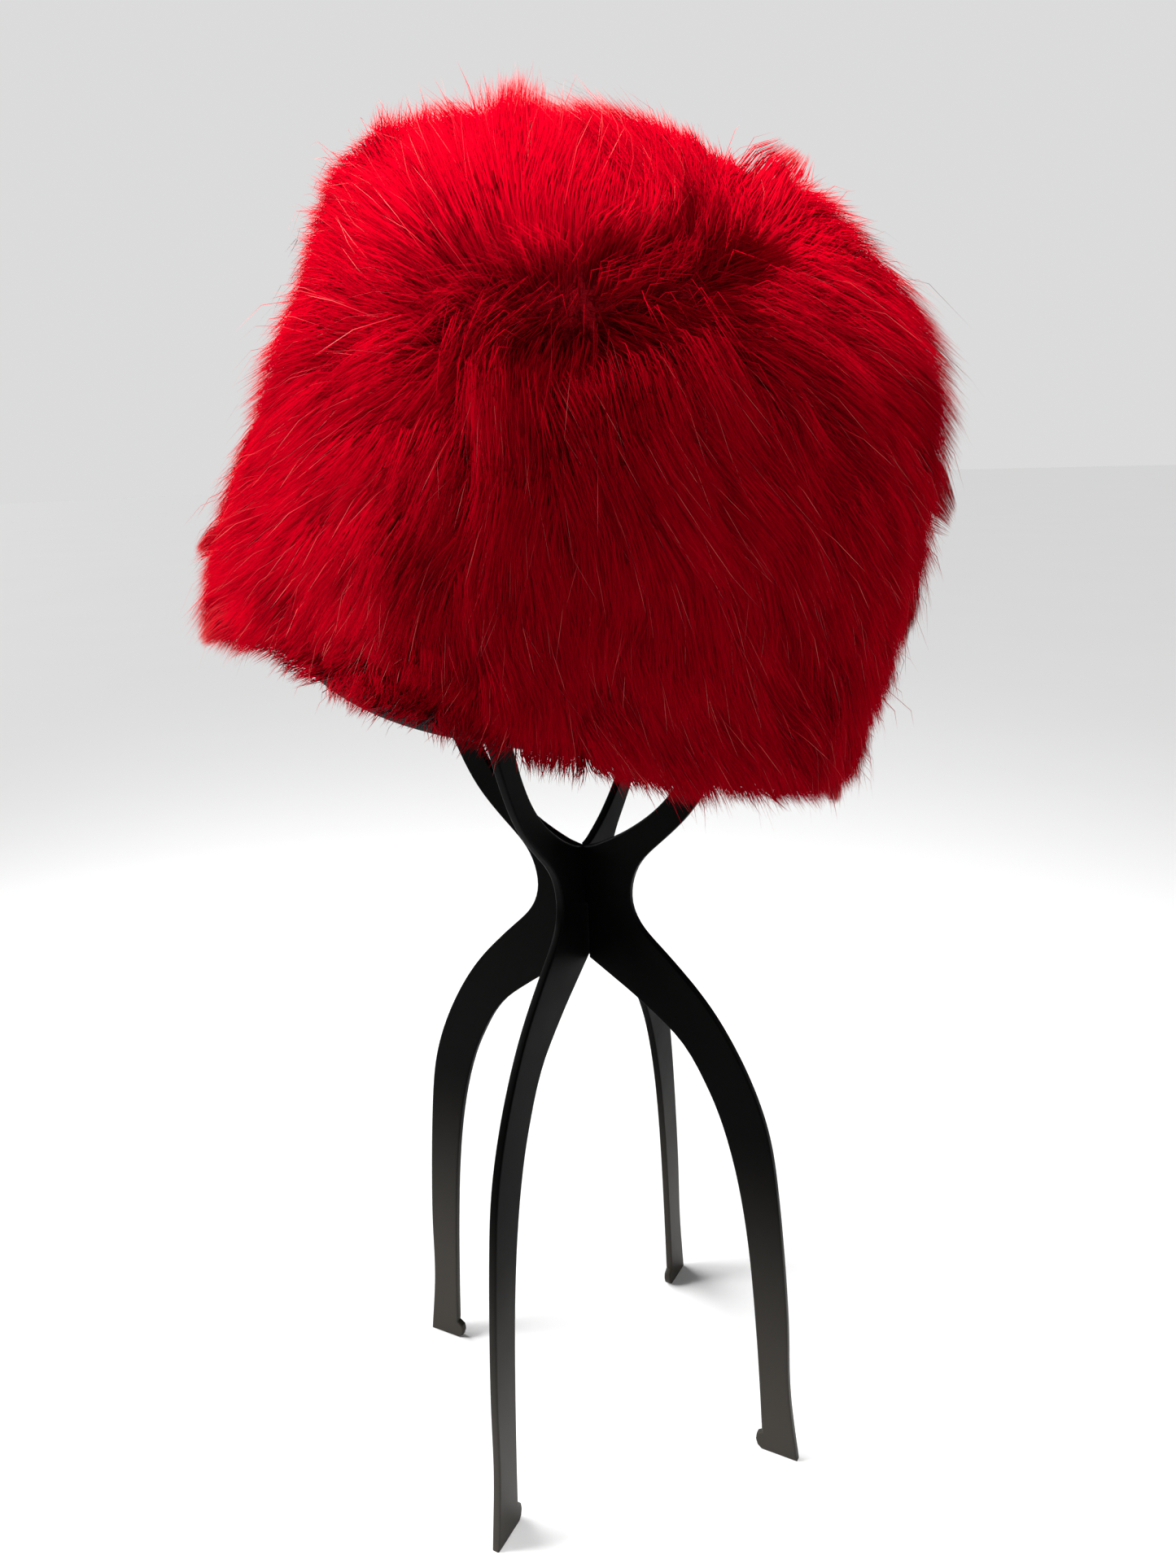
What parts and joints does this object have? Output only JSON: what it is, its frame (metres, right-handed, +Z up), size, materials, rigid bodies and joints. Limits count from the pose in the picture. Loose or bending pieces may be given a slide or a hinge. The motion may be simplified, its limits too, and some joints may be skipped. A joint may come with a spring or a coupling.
{
  "type": "fur beanie on a folding wig stand",
  "caption": "Long-pile fur beanie with a thin cloth lining, pulled on askew over a stand of crossed, slotted flat plates.",
  "frame": {"origin": "middle of the part's box on the floor that the feet stand on", "axes": "+Z up along the stand's axis, the camera side towards -Y"},
  "size_m": [0.2464, 0.235, 0.4862],
  "materials": {
    "fur_red": "long glossy pile",
    "cloth_black": "matte knit",
    "plastic_black": "semi-gloss moulded"
  },
  "bodies": {
    "root": {"hat_fur": "fur_red", "hat_lining": "cloth_black", "stand_plate_a": "plastic_black", "stand_plate_b": "plastic_black"}
  },
  "joints": []
}
